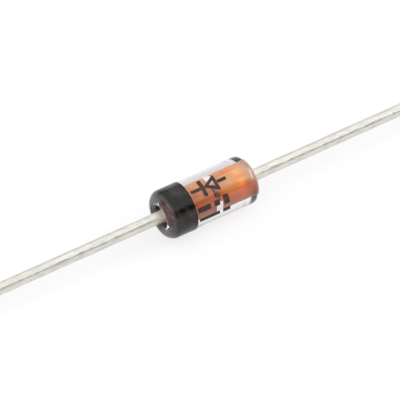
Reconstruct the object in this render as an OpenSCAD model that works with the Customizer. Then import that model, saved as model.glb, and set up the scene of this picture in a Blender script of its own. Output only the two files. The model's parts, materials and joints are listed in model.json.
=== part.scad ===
// Axial glass switching diode: a glass sleeve fused round two metal studs, with the
// chip held between the studs and a wire lead welded to the back of each.
// It lies along X with the cathode at -X. The origin is the middle of the sleeve.

/* [Glass sleeve] */
// Outside diameter of the sleeve
glass_d = 1.8; // [1.7:0.05:2.2]
// Length of the sleeve
glass_l = 3.75; // [3.7:0.05:4.6]
// Rounding of the outer rim at each end
rim_round = 0.34; // [0.1:0.02:0.4]
// Rounding of the bore's mouth at each end
mouth_round = 0.16; // [0.04:0.02:0.18]

/* [Studs] */
// Diameter of each stud, and of the bore that is fused onto it
stud_d = 0.78; // [0.7:0.02:0.9]
// Depth of the cathode stud's back below the end of the sleeve
cathode_recess = 0.25; // [0.05:0.05:0.4]
// Depth of the anode stud's back below the end of the sleeve
anode_recess = 0.1; // [0.05:0.05:0.4]
// Rounding of the studs' rims
stud_round = 0.04; // [0.01:0.01:0.06]
// Distance of the chip from the middle of the sleeve, towards the anode
chip_shift = 0.25; // [0:0.05:0.3]

/* [Chip] */
// Width of the square silicon chip
chip_w = 0.36; // [0.25:0.01:0.5]
// Thickness of the chip
chip_t = 0.15; // [0.1:0.01:0.2]
// Diameter of the silver bump on the chip's anode side
bump_d = 0.2; // [0.12:0.01:0.24]
// Height of the silver bump
bump_h = 0.05; // [0.03:0.01:0.08]
// Rounding of the bump's rims
bump_round = 0.012; // [0.004:0.002:0.014]

/* [Leads] */
// Diameter of the wire leads
lead_d = 0.46; // [0.4:0.02:0.56]
// Length of each lead beyond the end of the sleeve
lead_l = 26; // [10:0.5:38]
// Height that the weld at the foot of each lead stands above the wire
weld_h = 0.08; // [0.02:0.01:0.1]
// Length of that weld, along the lead
weld_l = 0.2; // [0.1:0.02:0.4]
// Rounding of the leads' cut tips
tip_round = 0.04; // [0.01:0.01:0.1]

/* [Cathode band] */
// Distance from the cathode end of the sleeve to the band
band_start = 0.1; // [0.08:0.01:0.6]
// Width of the painted band, along the sleeve
band_w = 0.95; // [0.5:0.05:1.2]
// Thickness of the paint
band_t = 0.02; // [0.01:0.005:0.04]

/* [Hidden] */
$fn = 96;

glass_r = glass_d / 2;
stud_r = stud_d / 2;
lead_r = lead_d / 2;
glass_end = glass_l / 2;

// A rounding or a weld is never wider than what carries it
rim = min(rim_round, glass_r - stud_r - mouth_round);
weld_rise = min(weld_h, stud_r - stud_round - lead_r);

// Places along X, from the cathode stud's back to the anode stud's back
cathode_back = cathode_recess - glass_end;
cathode_face = chip_shift - (chip_t + bump_h) / 2;
chip_face = cathode_face + chip_t;
anode_face = chip_face + bump_h;
anode_back = glass_end - anode_recess;

// The half section of a rod with both rims rounded: radius along x, length along y
module rod_section(r, from, to, round) {
    translate([0, from])
        square([r - round, to - from]);
    translate([0, from + round])
        square([r, to - from - 2 * round]);
    for (y = [from + round, to - round])
        translate([r - round, y])
            circle(round);
}

// The half section of a foot that flares out by a hollow arc, standing on y = 0
module flare_section(r, rise, height) {
    arc_r = (rise * rise + height * height) / (2 * rise);
    difference() {
        square([r + rise, height]);
        translate([r + arc_r, height])
            circle(arc_r);
    }
}

// The half section of the sleeve's outside, or of the skin that lies grow above it
module sleeve_section(grow) {
    rod_section(glass_r + grow, -glass_end - grow, glass_end + grow, rim + grow);
}

// The half section of the bore, with a rounded mouth at each end
module bore_section() {
    translate([0, -glass_l])
        square([stud_r, 2 * glass_l]);
    for (side = [-1, 1])
        scale([1, side])
            translate([0, glass_end])
                mirror([0, 1])
                    flare_section(stud_r, mouth_round, mouth_round);
}

// Turns a half section round the X axis
module revolve() {
    rotate([0, 90, 0])
        rotate_extrude()
            children();
}

module stud(from, to) {
    revolve()
        rod_section(stud_r, from, to, stud_round);
}

// A lead along +X: its welded end is square and flares out on the back of its stud
module lead(back) {
    tip = glass_end + lead_l;
    revolve() {
        translate([0, back])
            square([lead_r, tip_round]);
        translate([0, back])
            flare_section(lead_r, weld_rise, weld_l);
        rod_section(lead_r, back, tip, tip_round);
    }
}

module glass_sleeve() {
    color("AliceBlue", 0.4)
        revolve()
            difference() {
                sleeve_section(0);
                bore_section();
            }
}

module cathode_stud() {
    color("Coral")
        stud(cathode_back, cathode_face);
}

module anode_stud() {
    color("Coral")
        stud(anode_face, anode_back);
}

module cathode_lead() {
    color("Gainsboro")
        mirror([1, 0, 0])
            lead(-cathode_back);
}

module anode_lead() {
    color("Gainsboro")
        lead(anode_back);
}

module silicon_chip() {
    color("SlateGray")
        translate([cathode_face, -chip_w / 2, -chip_w / 2])
            cube([chip_t, chip_w, chip_w]);
}

module contact_bump() {
    color("Silver")
        revolve()
            rod_section(bump_d / 2, chip_face, anode_face, bump_round);
}

module cathode_band() {
    reach = glass_r + 2 * band_t;
    color("DimGray")
        revolve()
            intersection() {
                difference() {
                    sleeve_section(band_t);
                    sleeve_section(0);
                }
                translate([0, band_start - glass_end])
                    square([reach, band_w]);
            }
}

glass_sleeve();
cathode_stud();
anode_stud();
cathode_lead();
anode_lead();
silicon_chip();
contact_bump();
cathode_band();
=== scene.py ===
# Axial glass switching diode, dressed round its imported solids.
# Pieces are modelled in millimetres, then shrunk to metres when they are finished.
import json
import math

import bpy
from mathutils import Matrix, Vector


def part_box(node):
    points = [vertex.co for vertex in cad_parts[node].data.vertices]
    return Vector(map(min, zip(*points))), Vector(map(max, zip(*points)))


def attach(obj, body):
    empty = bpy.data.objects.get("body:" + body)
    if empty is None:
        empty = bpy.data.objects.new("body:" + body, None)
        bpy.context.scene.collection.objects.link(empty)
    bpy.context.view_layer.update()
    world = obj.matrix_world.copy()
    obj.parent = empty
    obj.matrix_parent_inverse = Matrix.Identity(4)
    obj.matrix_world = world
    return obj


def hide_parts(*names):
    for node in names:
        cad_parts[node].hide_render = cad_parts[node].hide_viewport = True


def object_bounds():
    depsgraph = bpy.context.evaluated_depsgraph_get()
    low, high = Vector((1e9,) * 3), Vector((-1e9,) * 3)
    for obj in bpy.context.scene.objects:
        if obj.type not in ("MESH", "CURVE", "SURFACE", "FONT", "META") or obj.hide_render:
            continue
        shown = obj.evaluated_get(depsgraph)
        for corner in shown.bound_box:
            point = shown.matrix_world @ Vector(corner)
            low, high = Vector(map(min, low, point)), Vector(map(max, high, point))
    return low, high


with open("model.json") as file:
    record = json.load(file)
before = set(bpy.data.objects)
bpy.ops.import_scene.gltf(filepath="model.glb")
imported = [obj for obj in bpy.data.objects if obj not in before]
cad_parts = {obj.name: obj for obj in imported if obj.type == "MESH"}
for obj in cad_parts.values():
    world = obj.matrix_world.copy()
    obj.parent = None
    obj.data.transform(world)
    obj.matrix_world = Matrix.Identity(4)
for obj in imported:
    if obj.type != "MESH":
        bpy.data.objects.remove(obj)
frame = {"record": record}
cadLow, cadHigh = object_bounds()
mm = 0.001
near = 0.0008  # mm, how close a point has to be to count as on a rim
seat = 0.0015  # mm, how far fused faces sink into each other, so no air is left between them
squarely = 0.9  # how squarely a face has to look along an axis to be picked
roundSides = 160


# Small helpers

def span(node):
    low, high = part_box(node)
    return low.x / mm, high.x / mm


def radius(node):
    low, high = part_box(node)
    return max(high.y, high.z) / mm


def toLinear(hexText):
    values = [int(hexText[i:i + 2], 16) / 255 for i in (0, 2, 4)]
    return [v / 12.92 if v <= 0.04045 else ((v + 0.055) / 1.055) ** 2.4 for v in values] + [1.0]


def addNode(tree, kind, plugs=None, stops=(), **settings):
    made = tree.nodes.new(kind)
    for key, value in settings.items():
        setattr(made, key, value)
    for key, value in (plugs or {}).items():
        if isinstance(value, bpy.types.NodeSocket):
            tree.links.new(value, made.inputs[key])
        else:
            made.inputs[key].default_value = value
    for i, (place, hexText) in enumerate(stops):
        ramp = made.color_ramp.elements
        stop = ramp[i] if i < 2 else ramp.new(1.0)
        stop.position = place
        stop.color = toLinear(hexText)
    return made


def newMaterial(name):
    material = bpy.data.materials.new(name)
    material.use_nodes = True
    return material, material.node_tree, material.node_tree.nodes["Principled BSDF"]


def addRod(name, rodRadius, fromX, toX, sides=roundSides):
    bpy.ops.object.select_all(action="DESELECT")
    bpy.ops.mesh.primitive_cylinder_add(
        vertices=sides, radius=rodRadius, depth=abs(toX - fromX),
        location=((fromX + toX) / 2, 0, 0), rotation=(0, math.pi / 2, 0))
    piece = bpy.context.object
    piece.name = name
    bpy.ops.object.transform_apply(location=True, rotation=True, scale=True)
    return piece


def pickFaces(piece, test):
    bpy.ops.object.mode_set(mode="EDIT")
    bpy.ops.mesh.select_mode(type="FACE")
    bpy.ops.mesh.select_all(action="DESELECT")
    bpy.ops.object.mode_set(mode="OBJECT")
    for face in piece.data.polygons:
        face.select = test(face.center, face.normal)
    bpy.ops.object.mode_set(mode="EDIT")


def pickEdges(piece, test):
    bpy.ops.object.mode_set(mode="EDIT")
    bpy.ops.mesh.select_mode(type="EDGE")
    bpy.ops.mesh.select_all(action="DESELECT")
    bpy.ops.object.mode_set(mode="OBJECT")
    points = piece.data.vertices
    for edge in piece.data.edges:
        edge.select = test(*(points[i].co for i in edge.vertices))
    bpy.ops.object.mode_set(mode="EDIT")


def roundRim(piece, atX, rimRadius, rounding, steps):
    def onRim(point):
        return math.hypot(point.x - atX, math.hypot(point.y, point.z) - rimRadius) < near

    pickEdges(piece, lambda a, b: onRim(a) and onRim(b))
    bpy.ops.mesh.bevel(offset=rounding, segments=steps, profile=0.5, affect="EDGES", clamp_overlap=False)
    bpy.ops.object.mode_set(mode="OBJECT")


def finishPiece(piece, material, node=None, smoothAngle=40):
    bpy.ops.object.select_all(action="DESELECT")
    piece.select_set(True)
    bpy.context.view_layer.objects.active = piece
    piece.scale = (mm, mm, mm)
    bpy.ops.object.transform_apply(location=True, rotation=True, scale=True)
    bpy.ops.object.shade_smooth_by_angle(angle=math.radians(smoothAngle))
    piece.data.materials.clear()
    piece.data.materials.append(material)
    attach(piece, "root")
    if node:
        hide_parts(node)
    print("made", piece.name, len(piece.data.polygons), "faces")


# Materials

def makeSealingGlass():
    # sealing glass, melted onto the studs: fire polished, so clear and shiny with faint waves
    material, tree, shader = newMaterial("sealingGlassFirePolished")
    place = addNode(tree, "ShaderNodeTexCoord")
    waves = addNode(tree, "ShaderNodeTexNoise", {
        "Vector": place.outputs["Object"], "Scale": 1 / (0.9 * mm), "Detail": 1.0})
    bump = addNode(tree, "ShaderNodeBump", {
        "Height": waves.outputs["Fac"], "Strength": 0.05, "Distance": 0.05 * mm})
    shader.inputs["Base Color"].default_value = toLinear("F0EFF0")
    shader.inputs["Roughness"].default_value = 0.0
    shader.inputs["IOR"].default_value = 1.62
    shader.inputs["Transmission Weight"].default_value = 1.0
    tree.links.new(bump.outputs["Normal"], shader.inputs["Normal"])
    return material


copperLook = {"cloudShare": 0.45, "topLightShare": 0.25,  # how much the clouds and the painted light from above count
              "topLightTurn": 15.0, "topLightFrom": -0.1, "topLightTo": 0.3,  # degrees round the part, mm from its axis
              "recessShadeFrom": 0.325, "recessShadeTo": 0.125,  # mm from the cathode stud's back
              "glintFrom": 0.22, "glintTo": 0.015}  # mm from the anode stud's back


def makeOxidisedCopper():
    # copper-clad slug, fired until its skin turns to red copper oxide: satin orange and streaked by drawing.
    # Its upper side is painted paler as painted light from above, its cathode end painted darker as painted
    # shade, and a pale patch by the anode weld is a painted highlight.
    material, tree, shader = newMaterial("copperSlugOxidised")
    place = addNode(tree, "ShaderNodeTexCoord")
    along = addNode(tree, "ShaderNodeMapping", {
        "Vector": place.outputs["Object"], "Scale": (0.12, 1, 1)})
    streaks = addNode(tree, "ShaderNodeTexNoise", {
        "Vector": along.outputs["Vector"], "Scale": 1 / (0.13 * mm), "Detail": 3.0})
    clouds = addNode(tree, "ShaderNodeTexNoise", {
        "Vector": place.outputs["Object"], "W": 7.0, "Scale": 1 / (0.7 * mm), "Detail": 1.0},
        noise_dimensions="4D")
    patches = addNode(tree, "ShaderNodeMix", {
        0: copperLook["cloudShare"], 2: streaks.outputs["Fac"], 3: clouds.outputs["Fac"]})
    # painted light: the stud's upper side is made paler, as if lit from above
    turned = addNode(tree, "ShaderNodeMapping", {
        "Vector": place.outputs["Object"], "Rotation": (math.radians(copperLook["topLightTurn"]), 0, 0)})
    part = addNode(tree, "ShaderNodeSeparateXYZ", {0: turned.outputs["Vector"]})
    paintedTopLight = addNode(tree, "ShaderNodeMapRange", {
        0: part.outputs["Z"], 1: copperLook["topLightFrom"] * mm, 2: copperLook["topLightTo"] * mm})
    depth = addNode(tree, "ShaderNodeMix", {
        0: copperLook["topLightShare"], 2: patches.outputs[0], 3: paintedTopLight.outputs[0]})
    tint = addNode(tree, "ShaderNodeValToRGB", {"Fac": depth.outputs[0]}, stops=[
        (0.43, "E4681C"), (0.57, "FC8E10"), (0.67, "FCB878")])
    cathodeBack = span("cathode_stud")[0]
    paintedRecessShade = addNode(tree, "ShaderNodeMapRange", {  # painted shade: the cathode stud's back end, in the recess under the band, turns dark brown
        0: part.outputs["X"],
        1: (cathodeBack + copperLook["recessShadeFrom"]) * mm, 2: (cathodeBack + copperLook["recessShadeTo"]) * mm})
    skin = addNode(tree, "ShaderNodeMix", {
        0: paintedRecessShade.outputs[0], 6: tint.outputs["Color"], 7: toLinear("8A4234")}, data_type="RGBA")
    anodeBack = span("anode_stud")[1]
    paintedEndGlint = addNode(tree, "ShaderNodeMapRange", {  # painted highlight: next to the weld the stud's upper side turns pale pink
        0: part.outputs["X"],
        1: (anodeBack - copperLook["glintFrom"]) * mm, 2: (anodeBack - copperLook["glintTo"]) * mm})
    paintedEndGlint = addNode(tree, "ShaderNodeMath", {
        0: paintedEndGlint.outputs[0], 1: paintedTopLight.outputs[0]}, operation="MULTIPLY")
    skin = addNode(tree, "ShaderNodeMix", {
        0: paintedEndGlint.outputs[0], 6: skin.outputs[2], 7: toLinear("F8E4D8")}, data_type="RGBA")
    tree.links.new(skin.outputs[2], shader.inputs["Base Color"])
    shader.inputs["Roughness"].default_value = 0.32
    shader.inputs["IOR"].default_value = 1.67  # copper oxide, 2.7, as it is seen from inside the glass, 1.62
    return material


wireLook = {"footFrom": 0.55, "footTo": 0.05,  # mm beyond the end of the glass
            "metal": (0.75, 0.25), "rough": (0.27, 0.3)}  # along the wire, and at its foot


def makeTinnedWire():
    # tin plate on copper-clad wire: pale warm grey and half bright, with a fine mottle
    material, tree, shader = newMaterial("tinPlateHalfBright")
    place = addNode(tree, "ShaderNodeTexCoord")
    along = addNode(tree, "ShaderNodeMapping", {
        "Vector": place.outputs["Object"], "Scale": (0.4, 1, 1)})
    grain = addNode(tree, "ShaderNodeTexNoise", {
        "Vector": along.outputs["Vector"], "Scale": 1 / (0.14 * mm), "Detail": 3.0})
    tint = addNode(tree, "ShaderNodeValToRGB", {"Fac": grain.outputs["Fac"]}, stops=[
        (0.3, "D2D0C8"), (0.7, "E8E6DE")])
    bump = addNode(tree, "ShaderNodeBump", {
        "Height": grain.outputs["Fac"], "Strength": 1.0, "Distance": 0.02 * mm})
    part = addNode(tree, "ShaderNodeSeparateXYZ", {0: place.outputs["Object"]})
    away = addNode(tree, "ShaderNodeMath", {0: part.outputs["X"]}, operation="ABSOLUTE")
    glassEnd = span("glass_sleeve")[1]
    frostAndPaintedLight = addNode(tree, "ShaderNodeMapRange", {  # the heat leaves its foot frosted and duller; paler and warmer there is painted light and reflection near the glass ends
        0: away.outputs[0],
        1: (glassEnd + wireLook["footFrom"]) * mm, 2: (glassEnd + wireLook["footTo"]) * mm},
        interpolation_type="SMOOTHSTEP")
    skin = addNode(tree, "ShaderNodeMix", {
        0: frostAndPaintedLight.outputs[0], 6: tint.outputs["Color"], 7: toLinear("F2EADC")}, data_type="RGBA")
    metal = addNode(tree, "ShaderNodeMapRange", {
        0: frostAndPaintedLight.outputs[0], 3: wireLook["metal"][0], 4: wireLook["metal"][1]})
    rough = addNode(tree, "ShaderNodeMapRange", {
        0: frostAndPaintedLight.outputs[0], 3: wireLook["rough"][0], 4: wireLook["rough"][1]})
    tree.links.new(skin.outputs[2], shader.inputs["Base Color"])
    tree.links.new(metal.outputs[0], shader.inputs["Metallic"])
    tree.links.new(rough.outputs[0], shader.inputs["Roughness"])
    tree.links.new(bump.outputs["Normal"], shader.inputs["Normal"])
    return material


inkLook = {"sheenFrom": 0.155, "sheenTo": -0.065,  # mm from the band's start
           "patchFrom": 0.38, "patchTo": 0.66, "rough": (0.08, 0.32),  # from shiny patches to dull ones
           "inwards": -0.1}  # mm from the axis, times how far a face looks outwards: less is the underside


def makeBandPaint():
    # black ink rolled on and fired: nearly black, with shiny and dull patches; grey over the lip as painted
    # sheen, and slate grey from below as painted light
    material, tree, shader = newMaterial("blackInkFired")
    place = addNode(tree, "ShaderNodeTexCoord")
    clouds = addNode(tree, "ShaderNodeTexNoise", {
        "Vector": place.outputs["Object"], "W": 1.0, "Scale": 1 / (0.5 * mm), "Detail": 3.0},
        noise_dimensions="4D")
    tint = addNode(tree, "ShaderNodeValToRGB", {"Fac": clouds.outputs["Fac"]}, stops=[
        (0.45, "060201"), (0.66, "342B27")])
    part = addNode(tree, "ShaderNodeSeparateXYZ", {0: place.outputs["Object"]})
    bandStart = span("cathode_band")[0]
    paintedLipSheen = addNode(tree, "ShaderNodeMapRange", {  # painted sheen: the ink turns grey over the lip
        0: part.outputs["X"],
        1: (bandStart + inkLook["sheenFrom"]) * mm, 2: (bandStart + inkLook["sheenTo"]) * mm})
    skin = addNode(tree, "ShaderNodeMix", {
        0: paintedLipSheen.outputs[0], 6: tint.outputs["Color"], 7: toLinear("5E5C5A")}, data_type="RGBA")
    fromAxis = addNode(tree, "ShaderNodeMapping", {
        "Vector": place.outputs["Object"], "Scale": (0, 1, 1)})
    surface = addNode(tree, "ShaderNodeNewGeometry")
    outwards = addNode(tree, "ShaderNodeVectorMath", {
        0: fromAxis.outputs["Vector"], 1: surface.outputs["True Normal"]}, operation="DOT_PRODUCT")
    paintedUndersideLight = addNode(tree, "ShaderNodeMath", {  # the side that lies on the glass, painted slate grey: painted light where the black ink is seen through the glass
        0: outwards.outputs["Value"], 1: inkLook["inwards"] * mm}, operation="LESS_THAN")
    skin = addNode(tree, "ShaderNodeMix", {
        0: paintedUndersideLight.outputs[0], 6: skin.outputs[2], 7: toLinear("808890")}, data_type="RGBA")
    bump = addNode(tree, "ShaderNodeBump", {
        "Height": clouds.outputs["Fac"], "Strength": 1.0, "Distance": 0.045 * mm})
    rough = addNode(tree, "ShaderNodeMapRange", {
        0: clouds.outputs["Fac"], 1: inkLook["patchFrom"], 2: inkLook["patchTo"],
        3: inkLook["rough"][0], 4: inkLook["rough"][1]})
    tree.links.new(skin.outputs[2], shader.inputs["Base Color"])
    tree.links.new(rough.outputs[0], shader.inputs["Roughness"])
    tree.links.new(bump.outputs["Normal"], shader.inputs["Normal"])
    shader.inputs["IOR"].default_value = 1.46
    return material


def makeMarkInk():
    # printing ink, stamped on and fired: dark brown black, thinner in places
    material, tree, shader = newMaterial("brownBlackInkStamped")
    place = addNode(tree, "ShaderNodeTexCoord")
    clouds = addNode(tree, "ShaderNodeTexNoise", {
        "Vector": place.outputs["Object"], "Scale": 1 / (0.12 * mm), "Detail": 4.0})
    tint = addNode(tree, "ShaderNodeValToRGB", {"Fac": clouds.outputs["Fac"]}, stops=[
        (0.38, "1C1613"), (0.7, "50362C")])
    tree.links.new(tint.outputs["Color"], shader.inputs["Base Color"])
    shader.inputs["Roughness"].default_value = 0.45
    shader.inputs["IOR"].default_value = 1.42
    return material


def makeSawnSilicon():
    # silicon diced by a saw: dark blue grey and smooth
    material, tree, shader = newMaterial("siliconSawn")
    place = addNode(tree, "ShaderNodeTexCoord")
    clouds = addNode(tree, "ShaderNodeTexNoise", {
        "Vector": place.outputs["Object"], "Scale": 1 / (0.03 * mm), "Detail": 2.0})
    tint = addNode(tree, "ShaderNodeValToRGB", {"Fac": clouds.outputs["Fac"]}, stops=[
        (0.3, "4C4F57"), (0.7, "6B6E75")])
    tree.links.new(tint.outputs["Color"], shader.inputs["Base Color"])
    shader.inputs["Metallic"].default_value = 0.7
    shader.inputs["Roughness"].default_value = 0.3
    return material


def makePlatedSilver():
    # silver grown by plating: white metal, slightly frosted
    material, tree, shader = newMaterial("silverPlated")
    place = addNode(tree, "ShaderNodeTexCoord")
    grain = addNode(tree, "ShaderNodeTexNoise", {
        "Vector": place.outputs["Object"], "Scale": 1 / (0.02 * mm), "Detail": 2.0})
    tint = addNode(tree, "ShaderNodeValToRGB", {"Fac": grain.outputs["Fac"]}, stops=[
        (0.3, "D2D0C8"), (0.7, "ECEAE4")])
    tree.links.new(tint.outputs["Color"], shader.inputs["Base Color"])
    shader.inputs["Metallic"].default_value = 1.0
    shader.inputs["Roughness"].default_value = 0.35
    return material


# Glass sleeve: a tube with rounded rims and rounded mouths

glassLook = {"rimRound": 0.34, "mouthRound": 0.16, "rimSteps": 20, "mouthSteps": 10}
glassR = radius("glass_sleeve")
glassEnd = span("glass_sleeve")[1]
boreR = radius("cathode_stud") - seat

sealingGlass = makeSealingGlass()
glass = addRod("glassSleeve", glassR, -glassEnd, glassEnd)
pickFaces(glass, lambda centre, normal: abs(normal.x) > squarely)
bpy.ops.mesh.inset(thickness=(glassR - boreR) * math.cos(math.pi / roundSides), use_boundary=True)
bpy.ops.mesh.bridge_edge_loops()
for side in (-1, 1):
    roundRim(glass, side * glassEnd, glassR, glassLook["rimRound"], glassLook["rimSteps"])
    roundRim(glass, side * glassEnd, boreR, glassLook["mouthRound"], glassLook["mouthSteps"])
finishPiece(glass, sealingGlass, "glass_sleeve")

# Studs: slugs with broken rims

studLook = {"rimRound": 0.04, "rimSteps": 5}
oxidisedCopper = makeOxidisedCopper()
for name in ("cathode_stud", "anode_stud"):
    fromX, toX = span(name)
    stud = addRod(name.replace("_s", "S"), radius(name), fromX, toX)
    for atX in (fromX, toX):
        roundRim(stud, atX, radius(name), studLook["rimRound"], studLook["rimSteps"])
    finishPiece(stud, oxidisedCopper, name)

# Leads: straight wire, with the weld swelling out to the stud

leadLook = {"weldHeight": 0.08, "weldLength": 0.2, "weldSteps": 12, "tipRound": 0.04, "tipSteps": 4,
            "sides": 64, "rings": 130, "swellDepth": 0.014, "swellSize": 0.45}  # the plating lies uneven
leadR = frame["record"]["mounts"][0]["dims"]["r_mm"]
tinnedWire = makeTinnedWire()
weldArc = (leadLook["weldHeight"] ** 2 + leadLook["weldLength"] ** 2) / (2 * leadLook["weldHeight"])
swells = bpy.data.textures.new("platingSwells", "CLOUDS")
swells.noise_scale = leadLook["swellSize"]


def weldRadius(fromNeck):
    return leadR + weldArc - math.sqrt(weldArc ** 2 - fromNeck ** 2)


for name, side in (("cathode_lead", -1), ("anode_lead", 1)):
    ends = sorted(span(name), key=abs)
    neck = ends[0] + side * leadLook["weldLength"]
    lead = addRod(name.replace("_l", "L"), leadR, neck, ends[1], leadLook["sides"])
    pickEdges(lead, lambda a, b: abs(a.x - b.x) > leadR)
    bpy.ops.mesh.subdivide(number_cuts=leadLook["rings"])
    roundRim(lead, ends[1], leadR, leadLook["tipRound"], leadLook["tipSteps"])
    uneven = lead.modifiers.new("platingSwells", "DISPLACE")
    uneven.texture = swells
    uneven.strength = leadLook["swellDepth"]
    uneven.mid_level = 1.0  # inwards only, so the wire gets no thicker
    bpy.ops.object.modifier_apply(modifier=uneven.name)
    pickFaces(lead, lambda centre, normal: abs(centre.x - neck) < leadR and abs(normal.x) > squarely)
    step = leadLook["weldLength"] / leadLook["weldSteps"]
    for i in range(leadLook["weldSteps"]):
        bpy.ops.mesh.extrude_region_move(TRANSFORM_OT_translate={"value": (-side * step, 0, 0)})
        grow = weldRadius((i + 1) * step) / weldRadius(i * step)
        bpy.ops.transform.resize(value=(1, grow, grow), center_override=(neck, 0, 0))
    bpy.ops.transform.resize(value=(0, 1, 1), center_override=(ends[0], 0, 0))  # flat on the stud
    bpy.ops.object.mode_set(mode="OBJECT")
    finishPiece(lead, tinnedWire, name)

# Chip and its silver bump

chipLook = {"edgeRound": 0.006, "edgeSteps": 2,
            "ledge": 0.03, "ledgeDepth": 0.02}  # the saw leaves a ledge round the face
low, high = (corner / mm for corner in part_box("silicon_chip"))
bpy.ops.object.select_all(action="DESELECT")
bpy.ops.mesh.primitive_cube_add(size=1, location=(low + high) / 2)
chip = bpy.context.object
chip.name = "siliconChip"
chip.scale = high - low
bpy.ops.object.transform_apply(location=True, rotation=True, scale=True)
pickFaces(chip, lambda centre, normal: normal.x > squarely)
bpy.ops.transform.translate(value=(-chipLook["ledgeDepth"], 0, 0))
bpy.ops.mesh.inset(thickness=chipLook["ledge"])
bpy.ops.mesh.extrude_region_move(TRANSFORM_OT_translate={"value": (chipLook["ledgeDepth"], 0, 0)})
pickEdges(chip, lambda a, b: True)
bpy.ops.mesh.bevel(offset=chipLook["edgeRound"], segments=chipLook["edgeSteps"], affect="EDGES")
bpy.ops.object.mode_set(mode="OBJECT")
finishPiece(chip, makeSawnSilicon(), "silicon_chip")

bumpLook = {"rimRound": 0.012, "rimSteps": 4, "sides": 48}
fromX, toX = span("contact_bump")
bump = addRod("contactBump", radius("contact_bump"), fromX, toX, bumpLook["sides"])
for atX in (fromX, toX):
    roundRim(bump, atX, radius("contact_bump"), bumpLook["rimRound"], bumpLook["rimSteps"])
finishPiece(bump, makePlatedSilver(), "contact_bump")

# Cathode band: a skin of ink that follows the sleeve and wraps over its shoulder

bandLook = {"thickness": 0.02, "tilt": 21.0, "clearSide": 40.0, "heldBack": 0.1}  # held back on one side
bandFrom, bandTo = span("cathode_band")
bandPaint = makeBandPaint()
band = addRod("cathodeBand", glassR - seat, -glassEnd, 0)
roundRim(band, -glassEnd, glassR - seat, glassLook["rimRound"], glassLook["rimSteps"])
pickFaces(band, lambda centre, normal: math.hypot(centre.y, centre.z) < near)
bpy.ops.mesh.delete(type="FACE")
tilt = math.radians(bandLook["tilt"])
clearSide = math.radians(bandLook["clearSide"])
outwards = Vector((0, -math.sin(clearSide), math.cos(clearSide)))
startPoint = outwards * glassR + Vector((bandFrom + bandLook["heldBack"], 0, 0))
startFacing = outwards * math.sin(tilt) - Vector((math.cos(tilt), 0, 0))
for point, facing in ((startPoint, startFacing), ((bandTo, 0, 0), (1, 0, 0))):
    bpy.ops.mesh.select_all(action="SELECT")
    bpy.ops.mesh.bisect(plane_co=point, plane_no=facing, clear_outer=True, threshold=near / 10)
bpy.ops.object.mode_set(mode="OBJECT")
skin = band.modifiers.new("inkThickness", "SOLIDIFY")
skin.thickness = bandLook["thickness"] + seat
skin.offset = 1
bpy.ops.object.modifier_apply(modifier=skin.name)
finishPiece(band, bandPaint, "cathode_band")

# Printed marks: plain signs in dark ink, round the face that carries them

markLook = {
    "ink": 0.012, "reach": 0.3, "cornerRound": 0.03, "cornerSteps": 4, "face": 40.0,
    "arrow": (0.14, -21.0, 0.38, 0.12),  # place along the part, turn round it from the face, size, stroke
    "bars": [  # place along the part, turn round it from the face, length, width
        (-0.27, -21.0, 0.15, 0.66), (-0.55, -21.0, 0.42, 0.13), (0.52, -21.0, 0.36, 0.13),
        (-0.5, 24.0, 0.52, 0.2), (0.02, 24.0, 0.22, 0.22), (0.4, 24.0, 0.22, 0.36),
        (-0.34, 50.0, 0.84, 0.15), (0.36, 50.0, 0.3, 0.15)]}


def addStamp(atX, turn, length, width, outline=False):
    bpy.ops.object.select_all(action="DESELECT")
    where = (atX, 0, glassR)
    if outline:  # a hollow arrow that points to the cathode
        bpy.ops.mesh.primitive_cylinder_add(
            vertices=3, radius=length, depth=markLook["reach"], location=where, rotation=(0, 0, math.pi / 2))
    else:
        bpy.ops.mesh.primitive_cube_add(size=1, location=where)
        bpy.context.object.scale = (length, width, markLook["reach"])
    stamp = bpy.context.object
    bpy.ops.object.transform_apply(location=True, rotation=True, scale=True)
    pickEdges(stamp, lambda a, b: abs(a.z - b.z) > markLook["reach"] / 2)
    bpy.ops.mesh.bevel(
        offset=markLook["cornerRound"], segments=markLook["cornerSteps"], affect="EDGES")
    if outline:
        pickFaces(stamp, lambda centre, normal: abs(normal.z) > squarely)
        bpy.ops.mesh.inset(thickness=width, use_boundary=True)
        bpy.ops.mesh.bridge_edge_loops()
    bpy.ops.object.mode_set(mode="OBJECT")
    stamp.rotation_euler.x = math.radians(markLook["face"] + turn)
    bpy.ops.object.transform_apply(location=True, rotation=True, scale=True)
    return stamp


marks = addRod("printedMarks", glassR - seat, bandTo, glassEnd - glassLook["rimRound"])
pickFaces(marks, lambda centre, normal: abs(normal.x) > squarely)
bpy.ops.mesh.delete(type="ONLY_FACE")
bpy.ops.object.mode_set(mode="OBJECT")
skin = marks.modifiers.new("inkThickness", "SOLIDIFY")
skin.thickness = markLook["ink"] + seat
skin.offset = 1
bpy.ops.object.modifier_apply(modifier=skin.name)
stamps = [addStamp(*markLook["arrow"], outline=True)] + [addStamp(*bar) for bar in markLook["bars"]]
for stamp in stamps:
    stamp.select_set(True)
bpy.ops.object.join()
stamps = bpy.context.object
bpy.context.view_layer.objects.active = marks
press = marks.modifiers.new("press", "BOOLEAN")
press.operation = "INTERSECT"
press.solver = "EXACT"
press.use_self = True
press.object = stamps
bpy.ops.object.modifier_apply(modifier=press.name)
bpy.data.objects.remove(stamps)
finishPiece(marks, makeMarkInk())

# Floor, light and camera

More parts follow.
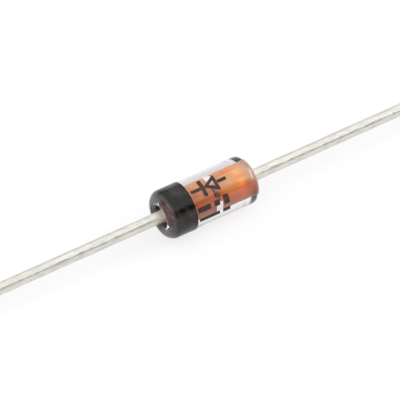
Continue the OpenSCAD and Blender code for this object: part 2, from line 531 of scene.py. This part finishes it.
stageLook = {"floorGap": 0.01, "floorSize": 4000.0, "floorLift": 0.76}  # the part lies on the floor
bpy.ops.object.select_all(action="DESELECT")
floorHeight = cadLow.z - stageLook["floorGap"] * mm
bpy.ops.mesh.primitive_plane_add(size=stageLook["floorSize"] * mm, location=(0, 0, floorHeight))
floor = bpy.context.object
floor.name = "floor"
floorMaterial, tree, shader = newMaterial("paleFloor")
shader.inputs["Base Color"].default_value = toLinear("808080")
shader.inputs["Roughness"].default_value = 0.9
shader.inputs["Specular IOR Level"].default_value = 0.0
path = addNode(tree, "ShaderNodeLightPath")
seen = addNode(tree, "ShaderNodeMath", {
    0: path.outputs["Is Camera Ray"], 1: path.outputs["Is Glossy Ray"]}, operation="MAXIMUM")
seen = addNode(tree, "ShaderNodeMath", {
    0: seen.outputs[0], 1: path.outputs["Is Transmission Ray"]}, operation="MAXIMUM")
direct = addNode(tree, "ShaderNodeMath", {
    0: path.outputs["Diffuse Depth"], 1: 0.5}, operation="LESS_THAN")  # the lift shows but lights nothing
lift = addNode(tree, "ShaderNodeMath", {0: seen.outputs[0], 1: direct.outputs[0]}, operation="MULTIPLY")
shader.inputs["Emission Color"].default_value = [stageLook["floorLift"]] * 3 + [1.0]
tree.links.new(lift.outputs[0], shader.inputs["Emission Strength"])
floor.data.materials.append(floorMaterial)

# Soft studio light: a tent that is pale near the floor and dimmer at half height, a broad softbox above,
# a bright strip beyond the anode and a dim panel beyond the cathode
tentLook = [(0.0, "F0F0F0"), (0.3, "E6E6E6"), (0.4, "747474"), (0.66, "747474"), (0.76, "B0B0B0")]
world = bpy.data.worlds.new("lightTent")
bpy.context.scene.world = world
world.use_nodes = True
tree = world.node_tree
place = addNode(tree, "ShaderNodeTexCoord")
height = addNode(tree, "ShaderNodeSeparateXYZ", {0: place.outputs["Generated"]})
wall = addNode(tree, "ShaderNodeValToRGB", {"Fac": height.outputs["Z"]}, stops=tentLook)
tree.links.new(wall.outputs["Color"], tree.nodes["Background"].inputs["Color"])
tree.nodes["Background"].inputs["Strength"].default_value = 1.0

softboxLook = {  # place, what it points at, width and depth, all in mm, and how bright it looks
    "overheadSoftbox": ((0, 125, 250), (0, 125, 0), 800, 750, 0.73),
    "sideStrip": ((245, -75, 152), (0, 0, 0), 220, 120, 4.7),
    "fillPanel": ((-240, -120, 190), (0, 0, 0), 500, 400, 0.6)}
for name, (place, target, width, depth, glow) in softboxLook.items():
    lamp = bpy.data.lights.new(name, "AREA")
    lamp.shape = "RECTANGLE"
    lamp.size = width * mm
    lamp.size_y = depth * mm
    lamp.energy = glow * math.pi * lamp.size * lamp.size_y  # the power that makes it look that bright
    softbox = bpy.data.objects.new(name, lamp)
    bpy.context.scene.collection.objects.link(softbox)
    softbox.location = Vector(place) * mm
    softbox.rotation_mode = "QUATERNION"
    softbox.rotation_quaternion = (Vector(target) - Vector(place)).to_track_quat("-Z", "Y")

cameraLook = {"azimuth": -32.2, "elevation": 45.3, "lens": 350.0, "clip": (0.001, 20),
              "pixels": 400, "pixelsPerMm": 28.25, "centre": (204.45, 197.15)}  # the origin in the picture
azimuth = math.radians(cameraLook["azimuth"])
elevation = math.radians(cameraLook["elevation"])
level = math.cos(elevation)
back = Vector((math.sin(azimuth) * level, -math.cos(azimuth) * level, math.sin(elevation)))
aim = (-back).to_track_quat("-Z", "Y")
camera = bpy.data.objects.new("camera", bpy.data.cameras.new("camera"))
bpy.context.scene.collection.objects.link(camera)
camera.data.lens = cameraLook["lens"]
picture = cameraLook["pixels"] / cameraLook["pixelsPerMm"] * mm
distance = picture * cameraLook["lens"] / camera.data.sensor_width
centreX, centreY = cameraLook["centre"]
middle = cameraLook["pixels"] / 2
offset = Vector((middle - centreX, centreY - middle, 0)) / cameraLook["pixelsPerMm"] * mm
camera.rotation_mode = "QUATERNION"
camera.rotation_quaternion = aim
camera.location = back * distance + aim @ offset
camera.data.clip_start, camera.data.clip_end = cameraLook["clip"]
bpy.context.scene.camera = camera
bpy.context.scene.view_settings.view_transform = "Standard"
cycles = bpy.context.scene.cycles  # light is trapped in the glass for many bounces
cycles.blur_glossy = 0  # and passes it unblurred
cycles.max_bounces = 32
cycles.diffuse_bounces = 8
cycles.glossy_bounces = 16
cycles.transmission_bounces = 32
print("stage set")
